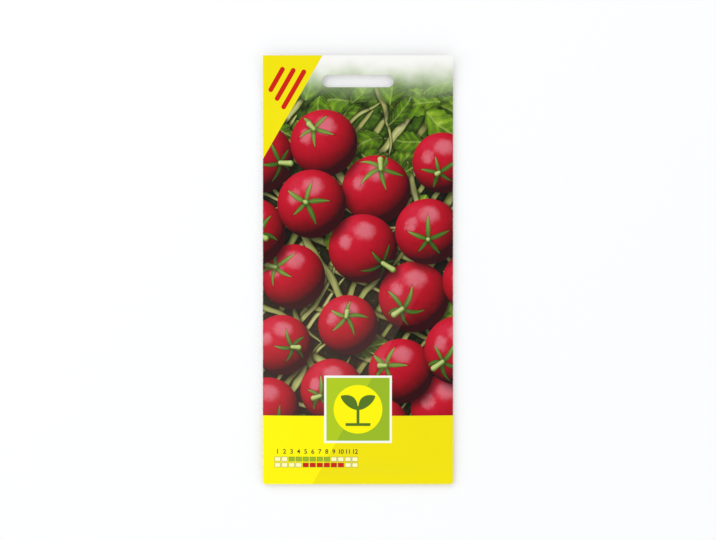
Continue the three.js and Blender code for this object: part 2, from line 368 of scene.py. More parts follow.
FRUIT_LIGHT = Vector((-0.40, 0.58, 0.71)).normalized()
FRUIT_GLINTS = [
    (Vector((0.04, 0.54, 0.84)).normalized(), 0.91, 0.30),
    (Vector((-0.52, 0.20, 0.83)).normalized(), 0.955, 0.30),
]
FRUIT_SHADES = shades(
    (0.0, 46, 2, 8), (0.25, 116, 2, 14), (0.55, 172, 8, 30), (0.82, 201, 20, 46), (1.0, 214, 52, 78),
)
STAR_SHADES = shades((0.0, 22, 38, 8), (0.5, 74, 112, 32), (1.0, 156, 184, 84))
STALK_SHADES = shades((0.0, 40, 56, 14), (0.6, 118, 144, 56), (1.0, 192, 206, 128))
ROW_SHARE = sqrt(3) / 2


def dot(x, y, z, direction):
    return x * direction[0] + y * direction[1] + z * direction[2]


def motif_group(name, *numbers, **others):
    """A group for one layer of motifs over a colour, with its turn, pitch, draw and more numbers."""
    numbers = dict.fromkeys(("Turn", "Pitch", "Draw", *numbers), "Float")
    return new_group(name, {"Position": "Vector", "Under": "Color", **numbers, **others})


def make_fruit_group():
    """One layer of round red fruit, each with a green star and a short stalk, and a soft shadow under it."""
    group, given, give = motif_group("Printed Fruit", "Radius", "Top", Shift="Vector")
    position, under, turn, pitch, draw, radius, top, shift = given
    cell = Cell(position, turn, shift, pitch, pitch * ROW_SHARE, draw)
    pick = cell.random
    size = radius * (0.90 + pick[0] * 0.17)
    x, y = cell.upright()
    x = (x - (pick[1] - 0.5) * 5.0) / size
    y = (y - (pick[2] - 0.5) * 5.0) / size
    present = is_less(cell.height + pick[6] * 8.0, top)

    from_shadow = root((x - 0.12) ** 2.0 + (y + 0.16) ** 2.0)
    under = darken(under, ramp(from_shadow, 1.2, 0.8) * present, 0.85)

    square = x * x + y * y
    z = root(larger(1.0 - square, 0.0))
    light = dot(x, y, z, FRUIT_LIGHT) * 0.84 + 0.05
    blotches = grain(position, 0.3, 3.0) - 0.5
    specks = grain(position, 2.4, 2.0) - 0.5

    # The star's middle faces a way of its own; u and v lie flat on the fruit there
    tip_heading = pick[3] * (2 * pi)
    tip_off = pick[4] * 0.62 + 0.14
    tip_x = cosine_of(tip_heading) * tip_off
    tip_y = sine_of(tip_heading) * tip_off
    tip_z = root(1.0 - tip_off * tip_off)
    flat = tip_z * tip_z + tip_x * tip_x
    scale = calc("INVERSE_SQRT", flat)
    u = (tip_z * x - tip_x * z) * scale
    v = (flat * y - tip_x * tip_y * x - tip_y * tip_z * z) * scale
    facing = above(dot(x, y, z, (tip_x, tip_y, tip_z)))
    spread = root(u * u + v * v)
    around = calc("ARCTAN2", v, u)
    ribs = cosine_of(around * 6.0 + pick[5] * 9.0) * ramp(spread, 0.9, 0.2) * facing

    tone = light + blotches * 0.14 + specks * 0.07 + ribs * 0.035
    fruit = color_ramp(tone, FRUIT_SHADES)
    for direction, edge, strength in FRUIT_GLINTS:
        facing_light = dot(x, y, z, direction) + blotches * 0.06 + specks * 0.04
        fruit = blend(ramp(facing_light, edge, 1.0) ** 1.5 * strength, fruit, linear(240, 176, 190))

    angle = (around + spread * (pick[7] - 0.5) * 1.6) * (5 / (2 * pi)) + pick[5] * 5.0
    petal = absolute(fraction(angle) - 0.5) * 2.0
    petal_pick = white_noise(join(round_down(angle + 0.5), pick[3], pick[4]), "Value")
    reach = petal ** 2.2 * (0.42 + petal_pick * 0.22) + 0.09
    star = ramp(spread - reach, 0.015, -0.015) * facing
    star_shadow = ramp(spread - reach, 0.12, 0.0) * facing
    fruit = darken(fruit, star_shadow, 0.5)
    star_tone = light * 0.75 + petal * 0.2 + specks * 0.35 + ramp(petal, 0.9, 1.0) * 0.2 - 0.12
    fruit = blend(star, fruit, color_ramp(star_tone, STAR_SHADES))
    body = ramp(square, 1.0, 0.97) * present
    drawn = blend(body, under, fruit)

    # The stalk runs outwards from the star's middle
    stalk_x = tip_x * 0.38 + (pick[7] - 0.5) * 0.22
    stalk_y = tip_y * 0.38 + (pick[8] - 0.5) * 0.22
    from_x = x - tip_x
    from_y = y - tip_y
    length_square = larger(stalk_x * stalk_x + stalk_y * stalk_y, 0.005)
    along = (from_x * stalk_x + from_y * stalk_y) / length_square
    along = smaller(larger(along, 0.0), 1.0)
    off_x = from_x - stalk_x * along
    off_y = from_y - stalk_y * along
    width = 0.066 + along * along * 0.022
    beside = root(off_x * off_x + off_y * off_y) / width
    cast = ramp(beside + off_y * 5.0 - off_x * 3.0, 2.2, 0.8) * present
    drawn = darken(drawn, cast, 0.4)
    stalk_tone = 0.95 - beside * beside * 0.5 + off_y * 4.0 - off_x * 3.0 + specks * 0.3
    drawn = blend(ramp(beside, 1.06, 0.92) * present, drawn, color_ramp(stalk_tone, STALK_SHADES))
    give(drawn)
    return group


LEAF_SHADES = shades(
    (0.0, 12, 24, 2), (0.3, 46, 74, 8), (0.6, 95, 134, 18), (0.82, 140, 172, 44), (1.0, 190, 210, 104),
)
STEM_SHADES = shades((0.0, 32, 34, 8), (0.4, 98, 104, 42), (0.75, 166, 168, 100), (1.0, 218, 214, 166))
EARTH_SHADES = shades((0.3, 12, 12, 4), (0.6, 38, 38, 16), (0.8, 80, 78, 42))
THICKET_SHADES = shades((0.3, 22, 40, 6), (0.55, 66, 98, 20), (0.75, 128, 156, 60))
NO_SHIFT = (0.0, 0.0, 0.0)
STEM_REACH = 62.0


def make_leaf_group():
    """One layer of pointed, toothed leaves with a midrib and side veins."""
    group, given, give = motif_group("Printed Leaves", "Bottom", "Share")
    position, under, turn, pitch, draw, bottom, share = given
    cell = Cell(position, turn, NO_SHIFT, pitch, pitch, draw)
    pick = cell.random
    heading = pick[0] * (2 * pi)
    cosine, sine = cosine_of(heading), sine_of(heading)
    half_length = pitch * (0.36 + pick[4] * 0.13)
    # s runs along the leaf from -1 to 1, and t across it
    s = (cell.x * cosine + cell.y * sine) / half_length
    t = (cell.y * cosine - cell.x * sine) / half_length
    t = t + (s * s - 0.3) * (pick[1] - 0.5) * 0.7
    present = is_more(cell.height, bottom) * is_less(pick[2], share)

    teeth = absolute(fraction(s * 3.5 + pick[5]) - 0.5)
    fullness = larger(1.0 - s * s, 0.0) ** 0.6
    half_width = fullness * (0.5 + pick[6] * 0.16 - s * 0.14) * (0.86 + teeth * 0.28)
    side = absolute(t)
    inside = half_width - side
    body = ramp(inside, 0.0, 0.03) * present
    halo = ramp(inside, -0.24, 0.05) * present
    under = darken(under, halo, 0.7)

    rib = ramp(side, 0.05, 0.015)
    vein_phase = absolute(fraction(s * 2.6 - side * 2.3 + pick[5]) - 0.5) * 2.0
    veins = ramp(vein_phase, 0.8, 1.0) * 0.45
    puckers = ramp(vein_phase, 0.1, 0.95) * 0.2
    half_tone = above(t) * (pick[7] - 0.3) * 0.4
    slow = mottle(position, 0.12, 2.0, 0.9)
    fine = mottle(position, 0.9, 3.0, 0.3)
    tone = 0.30 + pick[3] * 0.42 + half_tone + slow + fine - puckers + ramp(inside, 0.0, 0.3) * 0.12
    color = color_ramp(tone, LEAF_SHADES)
    color = blend(larger(rib, veins) * 0.42, color, linear(172, 192, 98))
    give(blend(body, under, color))
    return group


def make_stem_group():
    """One layer of long pale stems that run about the same way."""
    group, given, give = motif_group("Printed Stems", "Width", "Top")
    position, under, turn, pitch, draw, width, top = given
    cell = Cell(position, turn, NO_SHIFT, STEM_REACH, pitch, draw)
    pick = cell.random
    s = cell.x / (STEM_REACH * 0.48)
    bow = (pick[0] - 0.5) * pitch * 0.5
    offset = cell.y - (pick[1] - 0.5) * pitch * 0.3 - bow * (1.0 - s * s * 2.0)
    tip = larger(1.0 - s * s, 0.0) ** 0.35
    half_width = width * (0.7 + pick[2] * 0.6) * tip * (1.0 - s * 0.3)
    beside = absolute(offset) / larger(half_width, 0.05)
    present = is_less(pick[3], 0.86) * is_less(cell.height, top) * above(half_width, 0.2)
    under = darken(under, ramp(beside, 2.1, 0.9) * present, 0.7)
    round_tone = root(larger(1.0 - beside * beside, 0.0))
    streaks = mottle(join(offset * 3.0, s * 4.0, pick[4] * 50.0), 1.0, 2.0, 0.4)
    tone = round_tone * 0.6 + pick[5] * 0.3 + streaks - offset / half_width * 0.14 - 0.05
    color = color_ramp(tone, STEM_SHADES)
    give(blend(ramp(beside, 1.06, 0.94) * present, under, color))
    return group


# Where the printed areas lie, in millimetres from the packet's middle
BAND_TOP = -61.0
PANEL_MIDDLE = -58.25
PANEL_HALF = 14.15
PANEL_BORDER = 0.93
SUN_RADIUS = 10.2
CORNER_TIP = (-14.8, 90.0)
CORNER_FOOT = (-40.0, 46.4)
# Where a painted sheen ends: the band, the panel and the lower picture are lighter left of this line
SHEEN_EDGE_FOOT = (-19.2, -90.0)
SHEEN_EDGE_ANGLE = radians(60.9)
HAZE_HEIGHTS = (69.0, 84.0)
HAZE_DEPTH = 0.85
FADE_HEIGHTS = (76.0, 88.5)
SHEEN_HEIGHTS = (12.0, -30.0)
SHEEN_COLOR = (1.0, 0.6, 0.55)
THICKET_HEIGHTS = (30.0, 62.0)
FOLD_WEAR = (39.95, 40.25)
FOOT_WEAR = (89.95, 90.25)
STRIPES = [(11.7, 5.9), (7.55, 7.75), (3.4, 9.45)]
STRIPES_MIDDLE = -18.4
STRIPE_RADIUS = 1.0

# The layers of the picture from the back to the front. Each of stems or leaves has its turn and then its
# group's inputs; share is how many cells hold a leaf. Fruit: draw, shift along and up in pitches, and top.
STEM_INPUTS = ("Pitch", "Draw", "Width", "Top")
LEAF_INPUTS = ("Pitch", "Draw", "Bottom", "Share")
BACK_STEMS = [(-58, 7.0, 3.0, 1.3, 74.0), (24, 9.0, 8.0, 1.2, 66.0)]
BACK_LEAVES = [(12, 20.0, 5.0, -70.0, 0.45), (-34, 23.0, 17.0, 30.0, 1.0)]
FRONT_STEMS = [(-47, 17.0, 29.0, 1.4, 64.0), (61, 24.0, 33.0, 1.3, 74.0)]
FRONT_LEAVES = [(50, 25.0, 9.0, 42.0, 0.9), (-20, 28.0, 14.0, 50.0, 0.9), (31, 19.0, 41.0, 62.0, 1.0)]
FRUIT_TURN, FRUIT_PITCH, FRUIT_RADIUS = 13, 50.0, 13.9
FRUIT = [(2.0, 0.0, 2 / 3, 60.0), (21.0, 0.5, 1 / 3, 60.0), (43.0, 0.0, 0.0, 58.0)]


# So small a share of a layer's colour that it moves nothing
TOKEN_SHARE = 1e-9


def lay(group, position, under, **inputs):
    """One layer of motifs over the ones under it. Its position waits for their colour, so that the renderer
    works the layers out one after another; side by side they need more room than it has."""
    waiting = vector_math("MULTIPLY_ADD", under, (TOKEN_SHARE,) * 3, position)
    return add_node("ShaderNodeGroup", {"Position": waiting, "Under": under, **inputs}, node_tree=group)


def picture(position):
    """The fruit, leaves and stems of the picture, laid over each other from the back to the front."""
    fruit, leaves, stems = make_fruit_group(), make_leaf_group(), make_stem_group()
    bent = warp(position, 5.0, 0.07)
    height = split(position)[1]
    earth = color_ramp(grain(position, 0.5, 4.0, 0.6), EARTH_SHADES)
    thicket = color_ramp(grain(bent, 0.16, 3.0, 0.6), THICKET_SHADES)
    color = blend(ramp(height, *THICKET_HEIGHTS), earth, thicket)
    for group, names, layers in (
        (stems, STEM_INPUTS, BACK_STEMS), (leaves, LEAF_INPUTS, BACK_LEAVES),
        (stems, STEM_INPUTS, FRONT_STEMS), (leaves, LEAF_INPUTS, FRONT_LEAVES),
    ):
        for turn, *values in layers:
            color = lay(group, bent, color, Turn=radians(turn), **dict(zip(names, values)))
    for draw, along, up, top in FRUIT:
        shift = (along * FRUIT_PITCH, up * FRUIT_PITCH * ROW_SHARE, 0.0)
        color = lay(
            fruit, position, color, Turn=radians(FRUIT_TURN), Shift=shift, Pitch=FRUIT_PITCH,
            Radius=FRUIT_RADIUS, Draw=draw, Top=top,
        )
    return color


def signed_side(x, y, through, angle):
    """Distance to the right of a line that runs through a point at an angle."""
    return (x - through[0]) * sin(angle) - (y - through[1]) * cos(angle)


SPROUT_LEAF = 4.6
SPROUT_LEAN = 50
SPROUT_LINE = 0.6
SPROUT_FOOT, SPROUT_TOP = -6.4, 1.4
GROUND_HALF = 5.2


def sprout(x, y):
    """A plain sign for a seedling: two leaves on a stem that stands on a short line of ground."""
    marks = []
    for side in (-1, 1):
        heading = radians(90 - side * SPROUT_LEAN)
        cosine, sine = cos(heading), sin(heading)
        along = (x * cosine + y * sine) / SPROUT_LEAF - 1.0
        across = (y * cosine - x * sine) * side / SPROUT_LEAF + along * along * 0.18 - 0.1
        width = larger(1.0 - along * along, 0.0) ** 0.8 * 0.5
        marks.append(ramp(width - absolute(across), 0.01, 0.04))
    stem = above(SPROUT_LINE - absolute(x)) * above(y, SPROUT_FOOT) * above(SPROUT_TOP - y)
    ground = above(SPROUT_LINE - absolute(y - SPROUT_FOOT)) * above(GROUND_HALF - absolute(x))
    return larger(larger(*marks), larger(stem, ground))


CALENDAR_LEFT = -35.2
CALENDAR_CELL = 2.95
CALENDAR_TOP = -75.0
CALENDAR_ROW = 2.5
NUMBERS_DOWN, BOXES_DOWN = 0.45, 1.7
BOX_SIZES = ((0.43, 0.98), (0.385, 0.84))
BOX_COLOR = linear(255, 250, 190)
CALENDAR_MONTHS = 12
SOWING = (3, 8)
HARVEST = (5, 10)


def calendar(x, y, colors, color):
    """Two rows of month boxes: the months for sowing filled green, those for picking red."""
    column = (x - CALENDAR_LEFT) / CALENDAR_CELL
    within = above(column, soft=0.02) * above(CALENDAR_MONTHS - column, soft=0.02)
    in_cell = absolute(fraction(column) - 0.5)
    for row, (months, fill) in enumerate(((SOWING, colors.green), (HARVEST, colors.red))):
        tall = absolute(y - (CALENDAR_TOP - CALENDAR_ROW * (BOXES_DOWN + row)))
        outline, inner = (
            above(wide - in_cell, soft=0.03) * above(high - tall) * within for wide, high in BOX_SIZES
        )
        chosen = above(column, months[0] - 1.0, 0.02) * above(months[1] - column, soft=0.02)
        color = blend(outline, color, colors.ink)
        color = blend(inner, color, BOX_COLOR)
        color = blend(inner * chosen, color, fill)
    return color


def make_front_material(colors):
    """The printed front of the envelope: coated paper."""
    material, shader, position = new_material("Front print")
    x, y, _ = split(position)
    sheet = join(x, y)

    # A painted sheen: left of the diagonal, the band and the panel take lighter tones and the lower picture
    # gets a faint pale tint
    right = above(signed_side(x, y, SHEEN_EDGE_FOOT, SHEEN_EDGE_ANGLE), soft=0.3)
    color = picture(sheet)
    sheen = (1.0 - right) * ramp(y, *SHEEN_HEIGHTS)
    color = blend(sheen * 0.03, color, SHEEN_COLOR)
    fade_height = y + mottle(sheet, 0.1, 2.0, 7.0)
    color = blend(ramp(fade_height, *HAZE_HEIGHTS) * HAZE_DEPTH, color, colors.haze)
    color = blend(ramp(fade_height, *FADE_HEIGHTS), color, colors.paper)

    # The band, with painted sheen left of the diagonal
    band = blend(right, colors.bright_yellow_and_sheen, colors.yellow)
    band = calendar(x, y, colors, band)
    color = blend(above(BAND_TOP - y), color, band)

    corner_angle = atan2(CORNER_TIP[1] - CORNER_FOOT[1], CORNER_TIP[0] - CORNER_FOOT[0])
    depth = signed_side(x, y, CORNER_TIP, corner_angle) * -1.0
    along = (x - CORNER_TIP[0]) * cos(corner_angle) + (y - CORNER_TIP[1]) * sin(corner_angle)
    color = blend(above(depth), color, colors.yellow)
    for stripe_depth, half_length in STRIPES:
        past = larger(absolute(along - STRIPES_MIDDLE) - (half_length - STRIPE_RADIUS), 0.0)
        gap = root(past * past + (depth - stripe_depth) ** 2.0)
        color = blend(above(STRIPE_RADIUS - gap), color, colors.red)

    from_middle = larger(absolute(x), absolute(y - PANEL_MIDDLE))
    color = blend(above(PANEL_HALF - from_middle), color, colors.paper)
    # The panel, with painted sheen left of the diagonal
    panel = blend(right, colors.painted_sheen_green, colors.green)
    from_sun = root(x * x + (y - PANEL_MIDDLE) ** 2.0)
    panel = blend(above(SUN_RADIUS - from_sun), panel, colors.bright_yellow_and_sheen)
    panel = blend(sprout(x, y - PANEL_MIDDLE), panel, colors.dark_green)
    color = blend(above(PANEL_HALF - PANEL_BORDER - from_middle), color, panel)

    rub = grain(position, 0.8, 4.0, 0.7)
    fold = ramp(absolute(x) + rub * 0.5, *FOLD_WEAR)
    foot = ramp(y * -1.0 + rub * 0.5, *FOOT_WEAR)
    color = blend(larger(fold, foot) * 0.55, color, colors.paper)

    roughness = 0.30 + grain(position, 0.25, 3.0) * 0.12 + fold * 0.2
    fibres = grain(position, 2.2, 4.0, 0.6) * 0.7 + grain(position, 0.55, 2.0) * 0.5
    set_look(shader, color, roughness, 0.14, (fibres, 0.16, 0.02 * MM))
    return material


def make_back_material(colors):
    """The back: the same coated paper, white above the yellow band that comes round from the front."""
    material, shader, position = new_material("Back print")
    x, y, _ = split(position)
    cloud = grain(position, 0.08, 2.0)
    white = blend(cloud, colors.paper, linear(240, 238, 230))
    band = blend(cloud * 0.3, colors.yellow, colors.bright_yellow_and_sheen)
    color = blend(above(BAND_TOP - y), white, band)
    color = shade(color, mottle(position, 0.3, 3.0, 0.06) + 0.97)
    roughness = 0.36 + grain(position, 0.3, 3.0) * 0.14
    set_look(shader, color, roughness, 0.42, (grain(position, 2.2, 4.0, 0.6), 0.18, 0.02 * MM))
    return material


def make_raw_paper_material(colors):
    """Uncoated paper: the envelope's inside and its cut edges."""
    material, shader, position = new_material("Raw paper")
    fibres = grain(position, 3.0, 5.0, 0.65)
    color = blend(fibres, linear(226, 222, 212), colors.paper)
    set_look(shader, color, 0.85, 0.3, (fibres, 0.4, 0.03 * MM))
    return material


def make_ink_material(colors):
    """Printed ink of the numbers."""
    material, shader, position = new_material("Number ink")
    cloud = grain(position, 3.0, 3.0)
    color = blend(cloud * 0.25, colors.ink, linear(60, 58, 40))
    set_look(shader, color, 0.34 + cloud * 0.1, 0.42, (cloud, 0.1, 0.01 * MM))
    return material


def make_laminate_material(contents):
    """The sachet's pale metallised laminate, with fine wrinkles."""
    material, shader, position = new_material("Sachet laminate")
    wrinkles = grain(position, 0.22, 5.0, 0.6)
    color = blend(wrinkles * 0.5, contents.foil, linear(190, 190, 188))
    set_look(shader, color, 0.32 + wrinkles * 0.16, relief=(wrinkles, 0.35, 0.08 * MM))
    shader.inputs["Metallic"].default_value = 0.45
    return material


def make_seed_material(contents):
    """Seed coats: dull brown, mottled and finely pitted."""
    material, shader, position = new_material("Seed coat")
    pits = grain(position, 5.0, 3.0, 0.6)
    color = color_ramp(grain(position, 0.9, 3.0), [
        (0.3, linear(96, 56, 34)), (0.5, tuple(contents.seed_color)), (0.72, linear(182, 132, 92)),
    ])
    set_look(shader, shade(color, 0.75 + pits * 0.5), 0.6 + pits * 0.2, relief=(pits, 0.5, 0.08 * MM))
    return material


# The folded paper

def pillow(x, y, half_width, low, high, side_power, end_power, full_at):
    """0 at the sides and both ends, 1 in the middle of the bulge."""
    along = min(max((y - low) / (high - low), 0.0), 1.0)
    side = max(0.0, 1 - abs(x / half_width) ** side_power)
    skew = log(0.5) / log(full_at)
    return side * sin(pi * along ** skew) ** end_power


# Soft creases of the front panel in millimetres: start, end, width, and height, less than 0 in a valley
CREASES = [
    ((-38.0, 67.0), (-13.0, 38.0), 2.4, 0.36),
    ((37.5, 66.0), (15.0, 34.0), 2.7, 0.33),
    ((-31.0, 68.0), (-22.0, 30.0), 2.1, -0.19),
    ((30.0, 68.0), (20.0, 44.0), 1.9, -0.16),
    ((-38.0, -84.0), (-20.0, -60.0), 2.3, 0.28),
    ((38.0, -84.0), (17.0, -61.0), 2.5, 0.28),
    ((-8.0, 68.5), (-5.0, 48.0), 2.1, -0.11),
    ((12.0, 68.5), (8.0, 50.0), 2.3, 0.10),
]
BUCKLE_LENGTH = 19.0
BUCKLE_HEIGHT = 0.18
BUCKLE_REACH = 6.0


def crease_height(x, y, start, end, width, height):
    """A soft ridge along a line that fades out at both of its ends."""
    run_x, run_y = end[0] - start[0], end[1] - start[1]
    from_x, from_y = x - start[0], y - start[1]
    length = hypot(run_x, run_y)
    along = (from_x * run_x + from_y * run_y) / length ** 2
    if not 0 < along < 1:
        return 0.0
    aside = (from_x * run_y - from_y * run_x) / length
    spread = width * (0.5 + along)
    return height * sin(pi * along ** 0.7) * exp(-((aside / spread) ** 2))


# How the filled back comes down from the lifted edges: its runs from the bottom and from the header, and the
# power of its curve across
BOW_FROM_BOTTOM, BOW_FROM_HEADER, BOW_POWER = 30 * MM, 36 * MM, 4
# How far the curled header's edge stays inside the model's box, and how far from a side fold the bulge starts
TOP_GAP = 0.03 * MM
FOLD_WIDTH = 0.3 * MM


def noise_at(x, y, z):
    return noise.noise(Vector((x, y, z)))


class Pouch:
    """Where each point of one sheet lies once it is folded to a tube, glued at both ends and filled: the back
    panel with its seam's two laps under it, and the front panel over it. Each kind of pouch gives its own
    lift off the floor, outline from the middle to a side, and rise of the filled front."""

    def __init__(self, form, half_width, low, high, open_low, open_high, soft):
        """It is glued from low to open_low and from open_high to high, and opens over a height of soft."""
        self.form = form
        self.half_width = half_width
        self.low, self.high = low, high
        self.open_low, self.open_high = open_low, open_high
        self.soft = soft

    def levels(self, y):
        """The heights of the paper's middle at the seam's outer lap, at the back and at the empty front."""
        lap = self.lift(y) + self.form.paper / 2
        back = lap + self.form.paper + self.form.glue
        return lap, back, back + self.form.paper + self.cavity(y)

    def side_fold(self, y):
        """The x of the side folds' centre, their radius and their height there."""
        _, back, front = self.levels(y)
        radius = (front - back) / 2
        return self.outline(y) - radius - self.form.paper / 2, radius, (back + front) / 2

    def front_point(self, share, y):
        """A point of the front panel, at a share of the way from its middle to a side fold."""
        x = share * self.side_fold(y)[0]
        return Vector((x, y, self.levels(y)[2] + self.rise(x, y)))

    def open_share(self, y, soft, margin=0.0):
        """0 where the panels are glued at both ends, less a margin, and 1 between them."""
        low, high = self.open_low - margin, self.open_high + margin
        return smoothstep(y, low, low + soft) * (1 - smoothstep(y, high - soft, high))

    def cavity(self, y):
        """The space between the two panels at the side folds."""
        return self.form.glue + (self.form.cavity - self.form.glue) * self.open_share(y, self.soft)


class Envelope(Pouch):
    """The printed envelope: its edges stand off the floor, its filled back comes down to it in the middle,
    and its header curls up."""

    def __init__(self, form):
        self.layer = form.paper + form.glue
        self.flap_radius = 1.5 * self.layer
        low = BOTTOM + self.flap_radius + form.paper / 2
        open_low, open_high = low + form.bottom_bond, TOP - form.header
        super().__init__(form, HALF_WIDTH, low, TOP - TOP_GAP, open_low, open_high, 7 * MM)
        self.flap_end = low + form.flap

    def lift(self, y):
        into_header = max(0.0, y - self.open_high) / self.form.header
        return self.form.header_curl * into_header ** 2

    def bow(self, x, y):
        """How far the flat folded packet is bent up there, away from the floor."""
        side = max(0.0, 1 - abs(x / HALF_WIDTH) ** BOW_POWER)
        past_bottom = smoothstep(y, self.low, self.low + BOW_FROM_BOTTOM)
        before_header = smoothstep(self.open_high - y, 0.0, BOW_FROM_HEADER)
        return self.form.edge_lift * (1 - side * past_bottom * before_header)

    def outline(self, y):
        """Half the packet's width there: less at the two rounded bottom corners."""
        corner = self.form.corner
        into_corner = max(0.0, BOTTOM + corner - y)
        return HALF_WIDTH - corner + sqrt(max(corner ** 2 - into_corner ** 2, 0.0))

    def rise(self, x, y):
        """How far the contents push the front panel up there, with its creases and buckles."""
        form = self.form
        share = pillow(x, y, HALF_WIDTH - FOLD_WIDTH, self.open_low, self.open_high, 2.6, 0.8, 0.42)
        x_mm, y_mm = x / MM, y / MM
        creases = sum(crease_height(x_mm, y_mm, *crease) for crease in CREASES)
        from_fold = (HALF_WIDTH - abs(x)) / MM
        wave = sin(2 * pi * y_mm / BUCKLE_LENGTH + (0.0 if x > 0 else 2.0))
        wave += 0.6 * noise_at(copysign(7, x), y_mm / 11, 0)
        near_fold = exp(-from_fold / BUCKLE_REACH) * min(1.0, from_fold / 2.5)
        free = self.open_share(y, 11 * MM)
        buckles = BUCKLE_HEIGHT * wave * near_fold * free
        waves = 0.10 * noise_at(x_mm / 22, y_mm / 26, 3) * min(1.0, from_fold / 6) * free
        edge_x = smoothstep(SACHET_HIGH.x - abs(x), -1.5 * MM, 1.5 * MM)
        edge_y = smoothstep(SACHET_HIGH.y - y, -1.2 * MM, 1.2 * MM)
        edge_y *= smoothstep(y - SACHET_LOW.y, -2 * MM, 2 * MM)
        sachet_mark = 0.11 * edge_x * edge_y
        low, high = SEEDS_LOW.y - 4 * MM, SEEDS_HIGH.y + 5 * MM
        in_seeds = pillow(x, y, SEEDS_HIGH.x + 3 * MM, low, high, 4, 0.5, 0.5)
        bumps = 0.07 * noise_at(x_mm / 2.6, y_mm / 2.6, 9) * in_seeds
        relief = creases + buckles + waves + sachet_mark + bumps
        return form.crown * share + relief * MM * min(1.0, share * 6)


CRIMP_PITCH = 1.5 * MM
CRIMP_HEIGHT = 0.07 * MM
SACHET_GAP = 0.02 * MM
# Spacing of the sachet's mesh along it and across it
SACHET_STEPS = (1.6 * MM, 1.4 * MM)


class Sachet(Pouch):
    """The small sachet inside, with a crimped seal across each end."""

    def __init__(self, form):
        low, high = SACHET_LOW.y, SACHET_HIGH.y
        super().__init__(form, SACHET_HIGH.x, low, high, low + form.seal, high - form.seal, 6 * MM)

    def lift(self, y):
        sealed = 1 - self.open_share(y, MM, MM)
        crimps = (1 + sin(2 * pi * y / CRIMP_PITCH)) * CRIMP_HEIGHT
        return SACHET_LOW.z + SACHET_GAP + crimps * sealed

    def outline(self, y):
        return self.half_width

    def rise(self, x, y):
        share = pillow(x, y, self.half_width - FOLD_WIDTH, self.open_low, self.open_high, 3.5, 0.5, 0.45)
        wrinkles = 0.22 * noise_at(x / (9 * MM), y / (15 * MM), 5)
        wrinkles += 0.10 * noise_at(x / (3.5 * MM), y / (5 * MM), 8)
        return (self.form.crown + wrinkles * MM) * share


FRONT, BACK, RAW = 0, 1, 2
FOLD_STEPS = 6
BACK_STEP = 3 * MM
FLAP_STEP = 1.2 * MM
# Where the back panel steps up from the seam's outer lap, past the inner lap's edge
JOG_START, JOG_END = 0.5 * MM, 1.6 * MM


def run(start, end, step):
    """Evenly spaced numbers from start to end, about a step apart."""
    count = max(1, round(abs(end - start) / step))
    return [start + (end - start) * i / count for i in range(count + 1)]


def arc(radius, start, steps=FOLD_STEPS):
    """Points of a half circle, from a start in half turns on."""
    angles = [pi * (i / steps + start) for i in range(steps + 1)]
    return [(radius * cos(angle), radius * sin(angle)) for angle in angles]


def make_sheet(pouch, rows, step):
    """A pouch's folded sheet as one open surface that faces outwards, along the middle of the paper; returns
    it and the front panel's vertices at its bottom edge."""
    width = pouch.half_width
    front_shares = run(1.0, -1.0, step / width)[1:-1]
    half_lap = pouch.form.lap / 2
    jog_start, jog_end = half_lap + JOG_START, half_lap + JOG_END
    outer_lap = run(-half_lap, jog_start, BACK_STEP)
    back_right = run(jog_end, width - MM, BACK_STEP)
    back_left = run(-width + MM, half_lap, BACK_STEP)

    mesh = bmesh.new()
    grid = []
    for y in rows:
        lap, back, _ = pouch.levels(y)
        fold_x, radius, fold_height = pouch.side_fold(y)
        squeeze = pouch.outline(y) / width
        line = [Vector((x * squeeze, y, lap)) for x in outer_lap]
        line += [Vector((x * squeeze, y, back)) for x in back_right]
        line += [Vector((fold_x + across, y, fold_height + up)) for across, up in arc(radius, -0.5)]
        line += [pouch.front_point(share, y) for share in front_shares]
        line += [Vector((across - fold_x, y, fold_height + up)) for across, up in arc(radius, 0.5)]
        line += [Vector((x * squeeze, y, back)) for x in back_left]
        grid.append([mesh.verts.new(point) for point in line])

    first_front = len(outer_lap) + len(back_right) + FOLD_STEPS
    last_front = first_front + len(front_shares) + 1
    for low, high in zip(grid, grid[1:]):
        for i in range(len(low) - 1):
            face = mesh.faces.new((low[i], high[i], high[i + 1], low[i + 1]))
            printed = first_front - FOLD_STEPS // 2 <= i < last_front + FOLD_STEPS // 2
            face.material_index = FRONT if printed else BACK
    return mesh, grid[0][first_front:last_front + 1]


def add_bottom_flap(mesh, edge, envelope):
    """Runs the front panel on round the bottom edge and up under the back."""
    form = envelope.form
    flat = form.paper / 2 - envelope.layer
    above_row = edge
    shapes = []
    for i in range(1, 2 * FOLD_STEPS + 1):
        angle = pi * i / (2 * FOLD_STEPS)
        y = envelope.low - envelope.flap_radius * sin(angle)
        shapes.append((y, flat + envelope.flap_radius * (1 + cos(angle)), 0.0, envelope.outline(y)))
    for y in run(envelope.low, envelope.flap_end, FLAP_STEP)[1:]:
        cut = max(0.0, y - (envelope.flap_end - form.flap_chamfer))
        shapes.append((y, flat, cut, HALF_WIDTH))
    limit = edge[0].co.x
    for y, z, cut, outline in shapes:
        narrow = (outline - (HALF_WIDTH - limit) - cut) / limit
        row = [mesh.verts.new((vertex.co.x * narrow, y, z)) for vertex in edge]
        for i in range(len(row) - 1):
            face = mesh.faces.new((above_row[i], above_row[i + 1], row[i + 1], row[i]))
            face.material_index = FRONT if z > flat + envelope.flap_radius else BACK
        above_row = row


SLOT_END_STEPS = 16
CUTTER_LOW, CUTTER_HIGH = -5 * MM, 12 * MM


